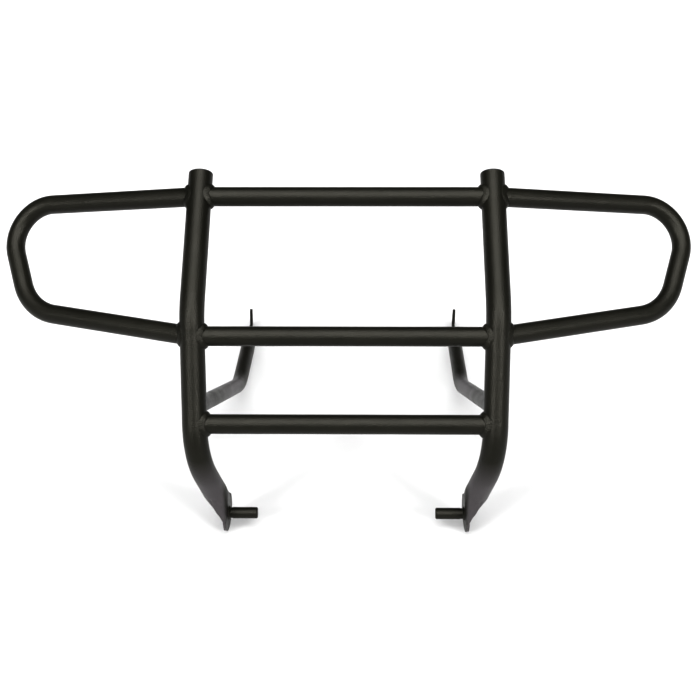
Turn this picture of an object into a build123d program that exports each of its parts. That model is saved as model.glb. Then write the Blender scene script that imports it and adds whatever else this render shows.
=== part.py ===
from build123d import *
import os
from math import cos, radians, sin, tan

# Welded tubular grille guard for the front of a utility vehicle, in millimetres.
# +X runs across the guard, +Y to the rear (towards the vehicle) and +Z up.
# The origin is on the ground, at the middle of the guard's footprint.
# "left" and "right" are those of a person who stands in front of the guard and looks at it.

# ---- Tube, rod and weld sizes
upright_r = 19.0
bar_r = 15.0
brace_r = 13.0
wall = 2.0
bend_r = 110.0  # centre-line radius of both upright bends
weld_leg = 5.0
weld_start = 9.0  # least distance of a bead from an upright's centre line
weld_reach = 60.0  # past the far side of any bead, along its tube
pin_weld_leg = 3.0

# ---- Pressed tube ends: how far along the taper each section stands, and how flat it is
press_stages = ((0, 0), (0.35, 0.15), (0.7, 0.6), (1, 1))
press_crown = 0.1  # how far a pressed face still bulges
press_shoulder = 30.0  # angle round the tube, up from the flat, where its long sides end
press_gap = 1.0  # gap that is left between the pressed walls

# ---- Uprights: heights, half spacings and leans of their three straight runs
top_z, knee_z, bend_z, pin_z = 517.5, 375.0, 177.0, 29.06
top_x, knee_x, bend_x, foot_x = 227.0, 231.5, 227.0, 190.4
knee_y = -245.35
upper_lean, middle_lean, lower_tuck = 51.4, 27.3, 20.9
top_y = knee_y + (top_z - knee_z) * tan(radians(upper_lean))
bend_y = knee_y - (knee_z - bend_z) * tan(radians(middle_lean))
pin_y = bend_y + (bend_z - pin_z) * tan(radians(lower_tuck))

# ---- Pressed foot of each upright, and the pin on its inner face
foot_width, foot_thick = 58.0, 5.0
foot_flat, foot_press = 13.0, 60.0  # lengths above the pin: flat part, then the pressed taper
foot_toe = 4.5  # angle of the foot inwards, going to the rear
pin_r, pin_end_x = 9.0, 142.0
pin_neck_r, pin_neck_x = 8.5, 181.5  # the pin is turned down from here to the foot, for its weld
pin_chamfer = 1.5

# ---- End caps
cap_flange, cap_plug, cap_crown = 2.0, 16.0, 1.2

# ---- Heights at which the bars, loops and braces meet the uprights
top_bar_z, middle_bar_z, lower_bar_z, brace_z = 494.0, 341.6, 223.0, 245.0

# ---- Headlight loops: each lies flat in a plane swept back from the uprights
loop_sweep = 20.0
loop_upper_corner, loop_lower_corner = (350.0, 255.0), (291.5, 71.7)
loop_upper_r, loop_lower_r = 60.0, 84.0

# ---- Rear braces and their pressed mounting tabs
brace_bend_x, brace_bend_y, brace_bend_z = 200.0, knee_y + 313.5, 41.0
brace_tip_x, brace_tip_y, brace_tip_z = 199.5, knee_y + 600.5, 17.68
brace_bend_r = 160.0
tab_width, tab_thick = 37.0, 5.0
tab_flat, tab_press = 70.0, 75.0
tab_toe, tab_fall = 4.5, 4.7  # angles of the tab outwards and downwards, going to the rear
tab_corner_r, tab_hole_r, tab_hole_inset = 10.0, 5.5, 22.0

sides = (("left", -1), ("right", 1))


def upright_corners(side):
    """Centre-line corners of an upright, from its top end down to its pin."""
    return [
        Vector(side * top_x, top_y, top_z),
        Vector(side * knee_x, knee_y, knee_z),
        Vector(side * bend_x, bend_y, bend_z),
        Vector(side * foot_x, pin_y, pin_z),
    ]


def upright_point(side, height):
    """Point on an upright's centre line at a height, its bends taken as sharp corners."""
    corners = upright_corners(side)
    for upper, lower in zip(corners, corners[1:]):
        if lower.Z <= height <= upper.Z:
            return lower + (upper - lower) * ((height - lower.Z) / (upper.Z - lower.Z))


def rod(corners, radii, radius):
    """Solid round rod along straight runs joined by tangent arcs."""
    with BuildPart() as solid:
        with BuildLine() as path:
            if radii:
                FilletPolyline(*corners, radius=radii)
            else:
                Line(*corners)
        with BuildSketch(Plane(path.line @ 0, z_dir=path.line % 0)):
            Circle(radius)
        sweep()
    return solid.part


def upright_rod(side, radius):
    """An upright's run from its top end to its pin, as a solid rod."""
    return rod(upright_corners(side), [bend_r, bend_r], radius)


def pressed_taper(start, end, radius, width, thick):
    """Solid that changes from a round rod on the start plane to a flat bar on the end plane."""
    run = end.origin - start.origin
    length = run.dot(start.z_dir)
    shift = run - start.z_dir * length
    corner = radians(press_shoulder)
    with BuildPart() as taper:
        for step, press in press_stages:
            origin = start.origin + start.z_dir * length * step + shift * press
            along = start.z_dir * (1 - step) + end.z_dir * step
            # The section's two long sides and its two edges are arcs at every stage.
            corner_x = radius * cos(corner) * (1 - press) + (width - thick) / 2 * press
            corner_y = radius * sin(corner) * (1 - press) + thick / 2 * press
            edge_x = radius * (1 - press) + width / 2 * press
            side_y = radius * (1 - press) + (thick / 2 + press_crown) * press
            with BuildSketch(Plane(origin, x_dir=end.x_dir, z_dir=along)):
                with BuildLine():
                    ThreePointArc((corner_x, corner_y), (0, side_y), (-corner_x, corner_y))
                    ThreePointArc((-corner_x, corner_y), (-edge_x, 0), (-corner_x, -corner_y))
                    ThreePointArc((-corner_x, -corner_y), (0, -side_y), (corner_x, -corner_y))
                    ThreePointArc((corner_x, -corner_y), (edge_x, 0), (corner_x, corner_y))
                make_face()
        loft()
    return taper.part


def square_to(direction, along):
    """Unit vector nearest to a direction and square to another."""
    return (direction - along * direction.dot(along)).normalized()


def foot_frame(side):
    """Plane of an upright's pressed foot: X to the rear edge, Y up, at the pin."""
    end = upright_corners(side)[-1]
    down = Vector(0, tan(radians(lower_tuck)), -1).normalized()
    to_rear = square_to(Vector(-side * tan(radians(foot_toe)), 1, 0), down)
    return Plane(end, x_dir=to_rear, z_dir=down.cross(to_rear))


def brace_corner(side):
    return Vector(side * brace_bend_x, brace_bend_y, brace_bend_z)


def tab_frame(side):
    """Plane of a brace's mounting tab: X to its tip, Y up, at the middle of its tip."""
    tip = Vector(side * brace_tip_x, brace_tip_y, brace_tip_z)
    along = Vector(side * tan(radians(tab_toe)), 1, -tan(radians(tab_fall))).normalized()
    return Plane(tip, x_dir=along, z_dir=square_to(Vector(1, 0, 0), along))


def make_upright(side):
    top, knee, bend, end = upright_corners(side)
    frame = foot_frame(side)
    up_leg = (bend - end).normalized()
    round_end = end + up_leg * (foot_flat + foot_press)
    start = Plane(round_end, x_dir=frame.x_dir, z_dir=-up_leg)
    finish = Plane(frame.origin + frame.y_dir * foot_flat, x_dir=frame.x_dir, z_dir=-frame.y_dir)
    run = [top, knee, bend, round_end]
    half = foot_width / 2
    outside = rod(run, [bend_r, bend_r], upright_r)
    inside = rod(run, [bend_r, bend_r], upright_r - wall)
    outer_taper = pressed_taper(start, finish, upright_r, foot_width, foot_thick)
    inner_taper = pressed_taper(start, finish, upright_r - wall, foot_width - 4 * wall, press_gap)
    with BuildPart() as tube:
        add([outside, outer_taper])
        add([inside, inner_taper], mode=Mode.SUBTRACT)
        with BuildSketch(frame):
            with BuildLine():
                Polyline((-half, 0), (-half, foot_flat), (half, foot_flat), (half, 0))
                ThreePointArc((half, 0), (0, -half), (-half, 0))
            make_face()
        extrude(amount=foot_thick / 2, both=True)
    return tube


def make_end_cap(side):
    top, knee = upright_corners(side)[:2]
    up = (top - knee).normalized()
    seat = Plane(top, z_dir=up)
    with BuildPart() as cap:
        with BuildSketch(seat):
            Circle(upright_r)
        extrude(amount=cap_flange)
        fillet(cap.faces().sort_by(Axis(top, up))[-1].edges(), cap_crown)
        with BuildSketch(seat):
            Circle(upright_r - wall)
            Circle(upright_r - 2 * wall, mode=Mode.SUBTRACT)
        extrude(amount=-cap_plug)
    return cap


def make_crossbar(height):
    start, end = upright_point(-1, height), upright_point(1, height)
    uprights = [upright_rod(side, upright_r) for _, side in sides]
    with BuildPart() as bar:
        with BuildSketch(Plane(start, z_dir=end - start)):
            Circle(bar_r)
            Circle(bar_r - wall, mode=Mode.SUBTRACT)
        extrude(amount=(end - start).length)
        add(uprights, mode=Mode.SUBTRACT)
    return bar


def loop_plane(side):
    """Plane of a headlight loop: X outwards, Y up the upright, at the middle crossbar."""
    low = upright_point(side, middle_bar_z)
    high = upright_point(side, top_bar_z)
    up = Vector(0, high.Y - low.Y, high.Z - low.Z).normalized()
    back = Vector(0, up.Z, -up.Y)
    out = Vector(side, 0, 0) * cos(radians(loop_sweep)) + back * sin(radians(loop_sweep))
    return Plane(low, x_dir=out, z_dir=out.cross(up))


def loop_corners(side):
    """Centre-line corners of a headlight loop, from the top crossbar's height down."""
    plane = loop_plane(side)
    rise = (upright_point(side, top_bar_z) - upright_point(side, middle_bar_z)).length
    flat = [(0, rise), loop_upper_corner, loop_lower_corner, (0, 0)]
    return [plane.from_local_coords(Vector(x, y, 0)) for x, y in flat]


def make_loop(side):
    corners = loop_corners(side)
    radii = [loop_upper_r, loop_lower_r]
    outside = rod(corners, radii, bar_r)
    inside = rod(corners, radii, bar_r - wall)
    upright = upright_rod(side, upright_r)
    with BuildPart() as loop:
        add(outside)
        add([inside, upright], mode=Mode.SUBTRACT)
    return loop


def make_brace(side):
    frame = tab_frame(side)
    corner = brace_corner(side)
    flat_start = frame.origin - frame.x_dir * tab_flat
    along = (flat_start - corner).normalized()
    round_end = flat_start - along * tab_press
    start = Plane(round_end, x_dir=frame.y_dir, z_dir=along)
    finish = Plane(flat_start, x_dir=frame.y_dir, z_dir=frame.x_dir)
    run = [upright_point(side, brace_z), corner, round_end]
    outside = rod(run, [brace_bend_r], brace_r)
    inside = rod(run, [brace_bend_r], brace_r - wall)
    outer_taper = pressed_taper(start, finish, brace_r, tab_width, tab_thick)
    inner_taper = pressed_taper(start, finish, brace_r - wall, tab_width - 4 * wall, press_gap)
    upright = upright_rod(side, upright_r)
    with BuildPart() as brace:
        add([outside, outer_taper])
        add([inside, inner_taper, upright], mode=Mode.SUBTRACT)
        with BuildSketch(frame) as outline:
            with Locations((-tab_flat / 2, 0)):
                Rectangle(tab_flat, tab_width)
            fillet(outline.vertices().sort_by(Axis.X)[-2:], tab_corner_r)
            with Locations((-tab_hole_inset, 0)):
                Circle(tab_hole_r, mode=Mode.SUBTRACT)
        extrude(amount=tab_thick / 2, both=True)
    return brace


def foot_slab(side, depth):
    """Slab outwards from a plane that stands this far inside the middle of a foot's thickness."""
    with BuildPart() as slab:
        with BuildSketch(foot_frame(side).offset(-side * depth)):
            Rectangle(2 * foot_width, 2 * foot_width)
        extrude(amount=side * foot_width)
    return slab.part


def pin_neck(side, radius):
    """Round rod from the middle of a foot's thickness to the end of the pin's neck."""
    return rod([foot_frame(side).origin, Vector(side * pin_neck_x, pin_y, pin_z)], None, radius)


def make_pin(side):
    neck = pin_neck(side, pin_neck_r)
    foot = foot_slab(side, foot_thick / 2)
    shoulder = Vector(side * pin_neck_x, pin_y, pin_z)
    inwards = Vector(-side, 0, 0)
    with BuildPart() as pin:
        with BuildSketch(Plane(shoulder, z_dir=inwards)):
            Circle(pin_r)
        extrude(amount=pin_neck_x - pin_end_x)
        chamfer(pin.faces().sort_by(Axis(shoulder, inwards))[-1].edges(), pin_chamfer)
        add(neck)
        add(foot, mode=Mode.SUBTRACT)
    return pin


def make_bead(outer_a, outer_b, inner_a, inner_b):
    """Weld bead: what two enlarged parts share, outside the parts themselves."""
    with BuildPart() as bead:
        add(outer_a)
        add(outer_b, mode=Mode.INTERSECT)
        add([inner_a, inner_b], mode=Mode.SUBTRACT)
    return bead


def make_tube_weld(side, start, towards, radius):
    """Weld bead along the saddle where a tube's end meets an upright."""
    along = (towards - start).normalized()
    reach = start + along * weld_reach
    return make_bead(
        rod([start + along * weld_start, reach], None, radius + weld_leg),
        upright_rod(side, upright_r + weld_leg),
        rod([start, reach], None, radius),
        upright_rod(side, upright_r),
    )


def make_pin_weld(side):
    """Weld bead round the root of a pin, on the inner face of the foot."""
    return make_bead(
        pin_neck(side, pin_r + pin_weld_leg),
        foot_slab(side, foot_thick / 2 + pin_weld_leg),
        pin_neck(side, pin_neck_r),
        foot_slab(side, foot_thick / 2),
    )


def save(piece, name):
    piece.part.label = name
    export_step(piece.part, f"parts/{name}.step")


os.makedirs("parts", exist_ok=True)

crossbars = (("top", top_bar_z), ("middle", middle_bar_z), ("lower", lower_bar_z))
for level, height in crossbars:
    save(make_crossbar(height), f"{level}_crossbar")
    for name, side in sides:
        weld = make_tube_weld(side, upright_point(side, height), upright_point(-side, height), bar_r)
        save(weld, f"{name}_{level}_crossbar_weld")

for name, side in sides:
    bar_start = upright_point(side, lower_bar_z)
    save(make_upright(side), f"{name}_upright")
    save(make_end_cap(side), f"{name}_end_cap")
    save(make_pin(side), f"{name}_mounting_pin")
    save(make_pin_weld(side), f"{name}_pin_weld")
    save(make_loop(side), f"{name}_headlight_loop")
    upper_start, upper_end, lower_end, lower_start = loop_corners(side)
    save(make_tube_weld(side, upper_start, upper_end, bar_r), f"{name}_upper_loop_weld")
    save(make_tube_weld(side, lower_start, lower_end, bar_r), f"{name}_lower_loop_weld")
    save(make_brace(side), f"{name}_rear_brace")
    bar_weld = make_tube_weld(side, bar_start, upright_point(-side, lower_bar_z), bar_r)
    full_weld = make_tube_weld(side, upright_point(side, brace_z), brace_corner(side), brace_r)
    with BuildPart() as brace_weld:
        add(full_weld.part)
        add(bar_weld.part, mode=Mode.SUBTRACT)
    save(brace_weld, f"{name}_brace_weld")
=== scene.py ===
from math import ceil, cos, pi, radians, sin, tau
import bpy
import bmesh
import numpy as np
from mathutils import Matrix, Vector, noise
from mathutils.bvhtree import BVHTree


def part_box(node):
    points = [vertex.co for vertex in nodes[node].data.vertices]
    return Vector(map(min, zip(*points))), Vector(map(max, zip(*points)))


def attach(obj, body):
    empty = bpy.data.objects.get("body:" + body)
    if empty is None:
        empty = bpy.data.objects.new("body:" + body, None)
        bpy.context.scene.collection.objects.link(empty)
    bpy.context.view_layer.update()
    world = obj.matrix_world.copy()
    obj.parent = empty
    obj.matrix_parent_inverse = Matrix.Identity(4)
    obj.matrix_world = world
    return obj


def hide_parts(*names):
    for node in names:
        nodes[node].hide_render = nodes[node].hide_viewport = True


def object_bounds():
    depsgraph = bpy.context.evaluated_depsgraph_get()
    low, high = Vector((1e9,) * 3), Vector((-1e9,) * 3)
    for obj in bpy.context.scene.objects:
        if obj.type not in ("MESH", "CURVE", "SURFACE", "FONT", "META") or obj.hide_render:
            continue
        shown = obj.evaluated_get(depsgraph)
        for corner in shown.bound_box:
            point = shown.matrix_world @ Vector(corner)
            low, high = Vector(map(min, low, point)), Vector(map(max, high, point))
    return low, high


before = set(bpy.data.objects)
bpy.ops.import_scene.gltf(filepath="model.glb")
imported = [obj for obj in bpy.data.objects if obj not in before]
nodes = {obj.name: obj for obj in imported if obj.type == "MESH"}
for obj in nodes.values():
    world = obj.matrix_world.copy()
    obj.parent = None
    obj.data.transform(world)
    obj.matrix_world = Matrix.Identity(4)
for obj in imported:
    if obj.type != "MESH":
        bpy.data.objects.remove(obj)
cad_low, cad_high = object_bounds()
sides = ("left", "right")
middle = (cad_low + cad_high) / 2

# ---- Camera, in metres and degrees; lens and sensor in millimetres
camera_place = Vector((0.049, -2.20025, 1.5053))
camera_pitch, camera_yaw, camera_roll = 31.5, -1.23, 0.52
camera_lens = 77.14
sensor_width = 36.0

# ---- Weld beads, in metres
tube_leg, pin_leg = 0.0052, 0.003
bead_crown = 0.0005  # how far a bead bulges past the flat between its toes
ripple_pitch, ripple_height = 0.0026, 0.00032
ripple_bow = 0.45  # how far a ripple's middle runs ahead of its ends, in ripples
ripple_fade = 0.7  # exponent: how the ripples flatten towards the toes
sway_circle = 3  # radius of each bead's closed path through the noise, in the noise's own units
sway_size, sway_phase = 0.10, 0.35  # share of a bead's leg, and of a ripple, that the noise shifts
rings_per_ripple = 6
profile_steps = 12
toe_tuck = 0.00015
root_tuck = 0.0008
long_edge = 0.033  # faces with an edge this long belong to a tube's straight run
ray_start = 2 * long_edge  # rays at the upright start this far out along the tube
joint_reach = 0.004  # how far from a joint's box such a face may start
saddle_stretch = 1.1  # a saddle's length over its tube's girth, about
smoothing_share = 60  # the upright's normals are averaged over this fraction of a ring to each side
neck_step = 0.0005  # the pins are turned down by this where they are welded

# ---- End caps, in metres
cap_steps = 96
cap_flange, cap_edge = 0.002, 0.0011  # rim height above the tube's end, and the rounding of its outer edge
cap_groove = 0.00035  # step between the rim and the tube's end
dome_steps, edge_steps = 14, 6
plug_fit, plug_length = 0.0021, 0.0158  # the plug's wall stands this far inside the tube's skin
plug_ribs, rib_height = 4, 0.0004
rib_slope = 0.7  # share of the ribs' pitch that a rib's slope takes up

# ---- Materials: noise scales per metre, bump distances in metres
noise_low, noise_high = 0.3, 0.7  # the span of a noise texture that tones and roughness are spread over
coat_tones = (0.0060, 0.0060, 0.0043), (0.0090, 0.0088, 0.0064)
coat_mottle, coat_patches, coat_waves, coat_peel = 9.0, 34.0, 560.0, 900.0
coat_roughness = 0.30, 0.40
wave_bump = {"distance": 0.0008, "strength": 0.75}
peel_bump = {"distance": 0.0002, "strength": 0.3}
coat_ior, coat_level, coat_tint = 1.5, 0.26, (1.0, 0.975, 0.88)
plastic_tones = (0.006, 0.006, 0.006), (0.010, 0.010, 0.010)
plastic_mottle, plastic_grain = 60.0, 1800.0
plastic_roughness = 0.52, 0.62
grain_bump = {"distance": 0.0001, "strength": 0.35}

# ---- Painted reflection of the pale floor: a grey patch painted into the coat's colour on the lower legs and the braces' fronts, in metres
reflection_bottom, reflection_top = 0.115, 0.175
reflection_inner, reflection_outer = 0.188, 0.193  # from the middle plane: the pins, further in, stay black
reflection_front, reflection_back = 0.03, 0.09
# the grey painted into the coat where it would reflect the floor
painted_reflection_colour = (0.056, 0.052, 0.055)

# ---- Stage and light: metres, degrees, watts per square metre
floor_radius = 14.0
floor_tone, floor_step, floor_glow = 0.39, 0.02, 0.25  # the step is the mottling's depth
floor_mottle, floor_roughness, floor_level = 2.0, 0.9, 0.1
top_light = {"elevation": 66, "turn": 0, "spread": 66, "power": 6.5}
side_light = {"elevation": 27, "turn": 38, "spread": 12, "power": 2.4}
surround_low, surround_high = 0.30, 0.05  # tones up to the horizon, and from surround_rise up
surround_rise = 0.5  # sine of the elevation
contrast_gamma = 0.70


# ======== Materials ========

def node(tree, kind, **inputs):
    """Adds a shader node and sets its inputs by socket name."""
    made = tree.nodes.new(kind)
    for name, value in inputs.items():
        made.inputs[name].default_value = value
    return made


def new_material(name):
    made = bpy.data.materials.new(name)
    made.use_nodes = True
    made.node_tree.nodes.clear()
    tree = made.node_tree
    shader = tree.nodes.new("ShaderNodeBsdfPrincipled")
    output = tree.nodes.new("ShaderNodeOutputMaterial")
    tree.links.new(shader.outputs["BSDF"], output.inputs["Surface"])
    place = tree.nodes.new("ShaderNodeTexCoord").outputs["Object"]
    return made, tree, shader, place


def noise_texture(tree, place, scale, detail=3.0):
    made = node(tree, "ShaderNodeTexNoise", Scale=scale, Detail=detail)
    tree.links.new(place, made.inputs["Vector"])
    return made.outputs["Fac"]


def ramp(tree, value, stops):
    """Colour ramp on a value, with two (position, colour) stops."""
    made = tree.nodes.new("ShaderNodeValToRGB")
    tree.links.new(value, made.inputs["Fac"])
    for point, (position, colour) in zip(made.color_ramp.elements, stops):
        point.position = position
        point.color = (*colour, 1)
    return made.outputs["Color"]


def map_range(tree, value, low, high, start=noise_low, end=noise_high):
    """Low where the value is at its start, high where it is at its end."""
    made = node(tree, "ShaderNodeMapRange")
    for index, number in enumerate((start, end, low, high), start=1):
        made.inputs[index].default_value = number
    tree.links.new(value, made.inputs["Value"])
    return made.outputs["Result"]


def math_node(tree, operation, *values):
    made = tree.nodes.new("ShaderNodeMath")
    made.operation = operation
    for value, socket in zip(values, made.inputs):
        tree.links.new(value, socket)
    return made.outputs["Value"]


def bump(tree, height, distance, strength, before=None):
    made = node(tree, "ShaderNodeBump", Distance=distance, Strength=strength)
    tree.links.new(height, made.inputs["Height"])
    if before:
        tree.links.new(before, made.inputs["Normal"])
    return made.outputs["Normal"]


def powder_coat():
    """Satin black powder coat: orange peel, soft mottling, and a grey painted reflection of the floor low
    down at the front.
    """
    made, tree, shader, place = new_material("powder_coat")
    mottle = noise_texture(tree, place, coat_mottle, detail=4.0)
    peel = noise_texture(tree, place, coat_peel, detail=2.0)
    waves = noise_texture(tree, place, coat_waves, detail=2.0)
    colour = ramp(tree, mottle, tuple(zip((noise_low, noise_high), coat_tones)))
    parts = tree.nodes.new("ShaderNodeSeparateXYZ")
    tree.links.new(place, parts.inputs["Vector"])
    # Painted reflection: the floor's grey sheen is painted into the base colour low down, at the front, and
    # outside the pins
    low = map_range(tree, parts.outputs["Z"], 1.0, 0.0, reflection_bottom, reflection_top)
    front = map_range(tree, parts.outputs["Y"], 1.0, 0.0, reflection_front, reflection_back)
    spread = math_node(tree, "ABSOLUTE", parts.outputs["X"])
    outer = map_range(tree, spread, 0.0, 1.0, reflection_inner, reflection_outer)
    reach = math_node(tree, "MULTIPLY", math_node(tree, "MULTIPLY", low, front), outer)
    painted_reflection = node(tree, "ShaderNodeMixRGB", Color2=(*painted_reflection_colour, 1))
    tree.links.new(reach, painted_reflection.inputs["Fac"])
    tree.links.new(colour, painted_reflection.inputs["Color1"])
    tree.links.new(painted_reflection.outputs["Color"], shader.inputs["Base Color"])
    roughness = map_range(tree, noise_texture(tree, place, coat_patches), *coat_roughness)
    tree.links.new(roughness, shader.inputs["Roughness"])
    soft = bump(tree, waves, **wave_bump)
    tree.links.new(bump(tree, peel, **peel_bump, before=soft), shader.inputs["Normal"])
    shader.inputs["IOR"].default_value = coat_ior
    shader.inputs["Specular IOR Level"].default_value = coat_level
    shader.inputs["Specular Tint"].default_value = (*coat_tint, 1)
    return made


def cap_plastic():
    """Black moulded plastic with a fine spark-eroded grain."""
    made, tree, shader, place = new_material("plastic")
    grain = noise_texture(tree, place, plastic_grain, detail=2.0)
    mottle = noise_texture(tree, place, plastic_mottle)
    colour = ramp(tree, mottle, tuple(zip((noise_low, noise_high), plastic_tones)))
    tree.links.new(colour, shader.inputs["Base Color"])
    tree.links.new(map_range(tree, mottle, *plastic_roughness), shader.inputs["Roughness"])
    tree.links.new(bump(tree, grain, **grain_bump), shader.inputs["Normal"])
    return made


def floor_paint():
    """Matt studio floor: mid grey with a glow of its own, which softens the shadows on it."""
    made, tree, shader, place = new_material("floor")
    shade = noise_texture(tree, place, floor_mottle)
    tones = (noise_low, floor_tone), (noise_high, floor_tone + floor_step)
    greys = [(position, (tone, tone, tone)) for position, tone in tones]
    tree.links.new(ramp(tree, shade, greys), shader.inputs["Base Color"])
    shader.inputs["Emission Color"].default_value = (1, 1, 1, 1)
    shader.inputs["Emission Strength"].default_value = floor_glow
    shader.inputs["Roughness"].default_value = floor_roughness
    shader.inputs["Specular IOR Level"].default_value = floor_level
    return made


def finish_cad_nodes(coat):
    """Gives every CAD node the coat; the pieces that replace some of them come later."""
    for item in nodes.values():
        item.data.materials.clear()
        item.data.materials.append(coat)


# ======== Weld beads ========

def cast_tree(name):
    """Ray-casting tree of a CAD node."""
    shape = bmesh.new()
    shape.from_mesh(nodes[name].data)
    made = BVHTree.FromBMesh(shape)
    shape.free()
    return made


def inside(point, low, high):
    return all(a <= value <= b for a, value, b in zip(low, point, high))


def tube_run(tube, joint):
    """Axis point, direction and radius of the straight tube run that starts at a joint's node."""
    low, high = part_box(joint)
    near_low = [value - joint_reach for value in low]
    near_high = [value + joint_reach for value in high]
    mesh = nodes[tube].data
    normals, corners = [], []
    for face in mesh.polygons:
        points = [mesh.vertices[i].co for i in face.vertices]
        near = any(inside(point, near_low, near_high) for point in points)
        longest = max((points[i] - points[i - 1]).length for i in range(len(points)))
        if near and longest > long_edge:
            normals.append(face.normal)
            corners += points
    along = Vector(np.linalg.svd(np.array(normals))[2][-1])
    across = along.orthogonal().normalized()
    other = along.cross(across)
    spans = [[point.dot(axis) for point in corners] for axis in (across, other)]
    centre = sum((axis * (max(span) + min(span)) / 2 for axis, span in zip((across, other), spans)), Vector())
    joint_middle = (low + high) / 2
    centre += along * joint_middle.dot(along)
    far = max(corners, key=lambda point: abs((point - joint_middle).dot(along)))
    if (far - joint_middle).dot(along) < 0:
        along = -along
    return centre, along, (max(spans[0]) - min(spans[0])) / 2


def saddle(centre, along, radius, upright, count):
    """Points round a tube where its surface meets the upright, with both surfaces' normals there."""
    across = along.orthogonal().normalized()
    other = along.cross(across)
    points, tube_normals, upright_normals = [], [], []
    for step in range(count):
        angle = tau * step / count
        radial = across * cos(angle) + other * sin(angle)
        start = centre + radial * radius + along * ray_start
        place, normal, _, _ = upright.ray_cast(start, -along)
        points.append(place)
        tube_normals.append(radial)
        upright_normals.append(normal)
    reach = count // smoothing_share + 1
    smooth = [
        sum((upright_normals[(i + j) % count] for j in range(-reach, reach + 1)), Vector()).normalized()
        for i in range(count)
    ]
    return points, tube_normals, smooth


def bead_ring(points, tube_normals, upright_normals, upright, leg, seed):
    """Closed ring of a rippled fillet bead along a saddle."""
    count = len(points)
    length = sum((points[i] - points[i - 1]).length for i in range(count))
    ripples = round(length / ripple_pitch)
    shape = bmesh.new()
    rings, travelled = [], 0.0
    for i, point in enumerate(points):
        travelled += (point - points[i - 1]).length if i else 0.0
        tangent = (points[(i + 1) % count] - points[i - 1]).normalized()
        up_tube = tangent.cross(tube_normals[i]).normalized()
        if up_tube.dot(upright_normals[i]) < 0:
            up_tube = -up_tube
        on_upright = tangent.cross(upright_normals[i]).normalized()
        if on_upright.dot(tube_normals[i]) < 0:
            on_upright = -on_upright
        turn = tau * i / count
        sway = noise.noise(Vector((sway_circle * cos(turn), sway_circle * sin(turn), seed)))
        size = leg * (1 + sway_size * sway)
        tube_toe = point + up_tube * size - tube_normals[i] * toe_tuck
        touch, normal = upright.find_nearest(point + on_upright * size)[:2]
        upright_toe = touch - normal * toe_tuck
        outwards = (tube_normals[i] + upright_normals[i]).normalized()
        phase = ripples * travelled / length + sway_phase * sway
        ring = []
        for step in range(profile_steps + 1):
            t = step / profile_steps
            rise = sin(pi * t)
            wave = abs(sin(pi * (phase + ripple_bow * rise)))
            ripple = ripple_height * rise ** ripple_fade * (wave - 0.5)
            lift = (bead_crown * rise + ripple) * leg / tube_leg
            ring.append(shape.verts.new(tube_toe.lerp(upright_toe, t) + outwards * lift))
        ring.append(shape.verts.new(point - outwards * root_tuck))
        rings.append(ring)
    for a, b in zip(rings, rings[1:] + rings[:1]):
        for j in range(len(a)):
            k = (j + 1) % len(a)
            shape.faces.new((a[j], a[k], b[k], b[j]))
    bmesh.ops.recalc_face_normals(shape, faces=shape.faces)
    return shape


def add_piece(shape, name, material, replaced):
    """Makes a bmesh a piece of the object that stands for a CAD node."""
    mesh = bpy.data.meshes.new(name)
    shape.to_mesh(mesh)
    shape.free()
    mesh.materials.append(material)
    for face in mesh.polygons:
        face.use_smooth = True
    piece = bpy.data.objects.new(name, mesh)
    bpy.context.scene.collection.objects.link(piece)
    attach(piece, "root")
    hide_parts(replaced)
    return piece


def weld_beads(coat):
    """One rippled bead for each CAD weld node."""
    joints = []
    for side in sides:
        for level in ("top", "middle", "lower"):
            joints.append((side, f"{side}_{level}_crossbar_weld", f"{level}_crossbar", tube_leg, 0))
        for level in ("upper", "lower"):
            joints.append((side, f"{side}_{level}_loop_weld", f"{side}_headlight_loop", tube_leg, 0))
        joints.append((side, f"{side}_brace_weld", f"{side}_rear_brace", tube_leg, 0))
        joints.append((side, f"{side}_pin_weld", f"{side}_mounting_pin", pin_leg, neck_step))
    trees = {side: cast_tree(f"{side}_upright") for side in sides}
    for seed, (side, weld, tube, leg, step) in enumerate(joints):
        centre, along, radius = tube_run(tube, weld)
        radius -= step
        count = ceil(tau * radius * saddle_stretch / ripple_pitch) * rings_per_ripple
        path = saddle(centre, along, radius, trees[side], count)
        shape = bead_ring(*path, trees[side], leg, seed)
        add_piece(shape, f"{weld}_bead", coat, weld)


# ======== End caps ========

def cap_profile(radius, height):
    """Half section of a cap as (radius, height) points, from its dome to its plug; the tube ends at 0."""
    flat = radius - cap_edge
    rim = cap_flange - cap_edge
    points = []
    for step in range(dome_steps + 1):
        out = flat * step / dome_steps
        points.append((out, cap_flange + (height - cap_flange) * (1 - (out / flat) ** 2)))
    for step in range(1, edge_steps + 1):
        angle = pi / 2 * step / edge_steps
        points.append((flat + cap_edge * sin(angle), rim + cap_edge * cos(angle)))
    points += [(radius, cap_groove), (radius - cap_groove, 0.0)]
    wall = radius - plug_fit
    root = wall - rib_height
    points.append((root, 0.0))
    pitch = plug_length / (plug_ribs + 1)
    for rib in range(1, plug_ribs + 1):
        points += [(root, pitch * (rib_slope - rib)), (wall, -pitch * rib), (root, -pitch * rib)]
    return points + [(root, -plug_length), (0.0, -plug_length)]


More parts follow.
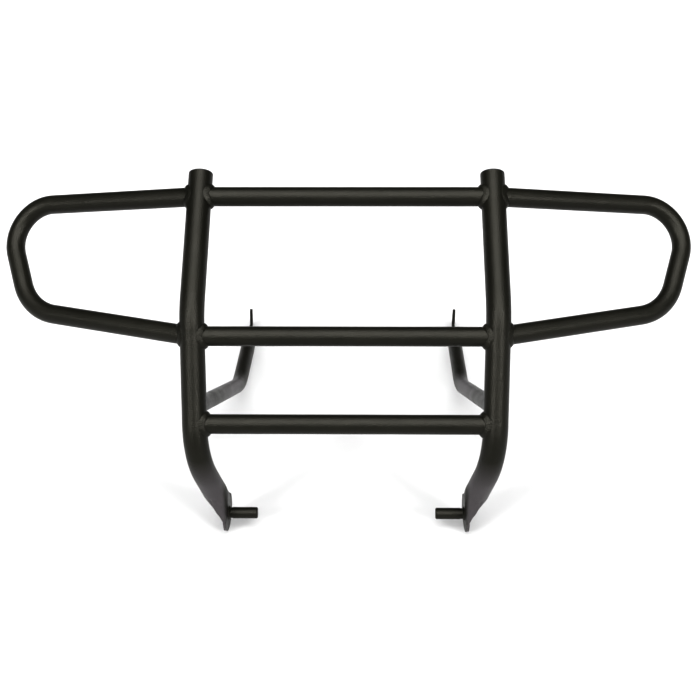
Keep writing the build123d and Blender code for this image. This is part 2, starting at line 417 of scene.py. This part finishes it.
def end_cap(side, material):
    """Domed plug with a rounded rim, pressed into the top of an upright."""
    name = f"{side}_end_cap"
    centre, along, radius = tube_run(f"{side}_upright", name)
    outwards = -along
    corners = [vertex.co for vertex in nodes[f"{side}_upright"].data.vertices]
    end = max(point.dot(outwards) for point in corners)
    top = max(vertex.co.dot(outwards) for vertex in nodes[name].data.vertices)
    base = centre + outwards * (end - centre.dot(outwards))
    across = outwards.orthogonal().normalized()
    other = outwards.cross(across)
    shape = bmesh.new()
    rings = []
    for out, rise in cap_profile(radius, top - end):
        spokes = cap_steps if out else 1
        turns = [tau * step / cap_steps for step in range(spokes)]
        rings.append([
            shape.verts.new(base + outwards * rise + (across * cos(turn) + other * sin(turn)) * out)
            for turn in turns
        ])
    for a, b in zip(rings, rings[1:]):
        for i in range(cap_steps):
            j = (i + 1) % cap_steps
            patch = [a[i % len(a)], a[j % len(a)], b[j % len(b)], b[i % len(b)]]
            shape.faces.new(list(dict.fromkeys(patch)))
    bmesh.ops.recalc_face_normals(shape, faces=shape.faces)
    add_piece(shape, f"{name}_plug", material, name)


# ======== Stage, light and camera ========

def studio_floor():
    shape = bmesh.new()
    bmesh.ops.create_circle(shape, cap_ends=True, radius=floor_radius, segments=64)
    mesh = bpy.data.meshes.new("floor")
    shape.to_mesh(mesh)
    shape.free()
    mesh.materials.append(floor_paint())
    floor = bpy.data.objects.new("floor", mesh)
    floor.location = (middle.x, middle.y, cad_low.z)
    bpy.context.scene.collection.objects.link(floor)


def soft_light(name, elevation, turn, spread, power):
    """Distant lamp at the front: turn is its bearing from straight ahead, spread its apparent width."""
    data = bpy.data.lights.new(name, "SUN")
    data.angle = radians(spread)
    data.energy = power
    lamp = bpy.data.objects.new(name, data)
    lamp.rotation_euler = (radians(90 - elevation), 0, radians(turn))
    bpy.context.scene.collection.objects.link(lamp)


def studio_world():
    """Dim surround: brightest at the horizon and below it, darker overhead."""
    world = bpy.data.worlds.new("studio")
    world.use_nodes = True
    tree = world.node_tree
    tree.nodes.clear()
    place = tree.nodes.new("ShaderNodeTexCoord").outputs["Generated"]
    parts = tree.nodes.new("ShaderNodeSeparateXYZ")
    tree.links.new(place, parts.inputs["Vector"])
    tones = (0.0, surround_low), (surround_rise, surround_high)
    greys = [(rise, (tone, tone, tone)) for rise, tone in tones]
    colour = ramp(tree, parts.outputs["Z"], greys)
    glow = tree.nodes.new("ShaderNodeBackground")
    tree.links.new(colour, glow.inputs["Color"])
    glow.inputs["Strength"].default_value = 1.0
    output = tree.nodes.new("ShaderNodeOutputWorld")
    tree.links.new(glow.outputs["Background"], output.inputs["Surface"])
    bpy.context.scene.world = world


def studio_lights():
    soft_light("top_light", **top_light)
    for side, sign in zip(sides, (-1, 1)):
        soft_light(f"{side}_light", **{**side_light, "turn": sign * side_light["turn"]})


def photo_camera():
    data = bpy.data.cameras.new("camera")
    data.sensor_width = sensor_width
    data.lens = camera_lens
    camera = bpy.data.objects.new("camera", data)
    turn = Matrix.Rotation(radians(-camera_yaw), 4, "Z")
    tilt = Matrix.Rotation(radians(90 - camera_pitch), 4, "X")
    roll = Matrix.Rotation(radians(-camera_roll), 4, "Z")
    camera.matrix_world = Matrix.Translation(camera_place) @ turn @ tilt @ roll
    bpy.context.scene.collection.objects.link(camera)
    bpy.context.scene.camera = camera


coat = powder_coat()
finish_cad_nodes(coat)
weld_beads(coat)
plastic = cap_plastic()
for side in sides:
    end_cap(side, plastic)
studio_floor()
studio_world()
studio_lights()
photo_camera()
bpy.context.scene.view_settings.view_transform = "Standard"
bpy.context.scene.view_settings.gamma = contrast_gamma
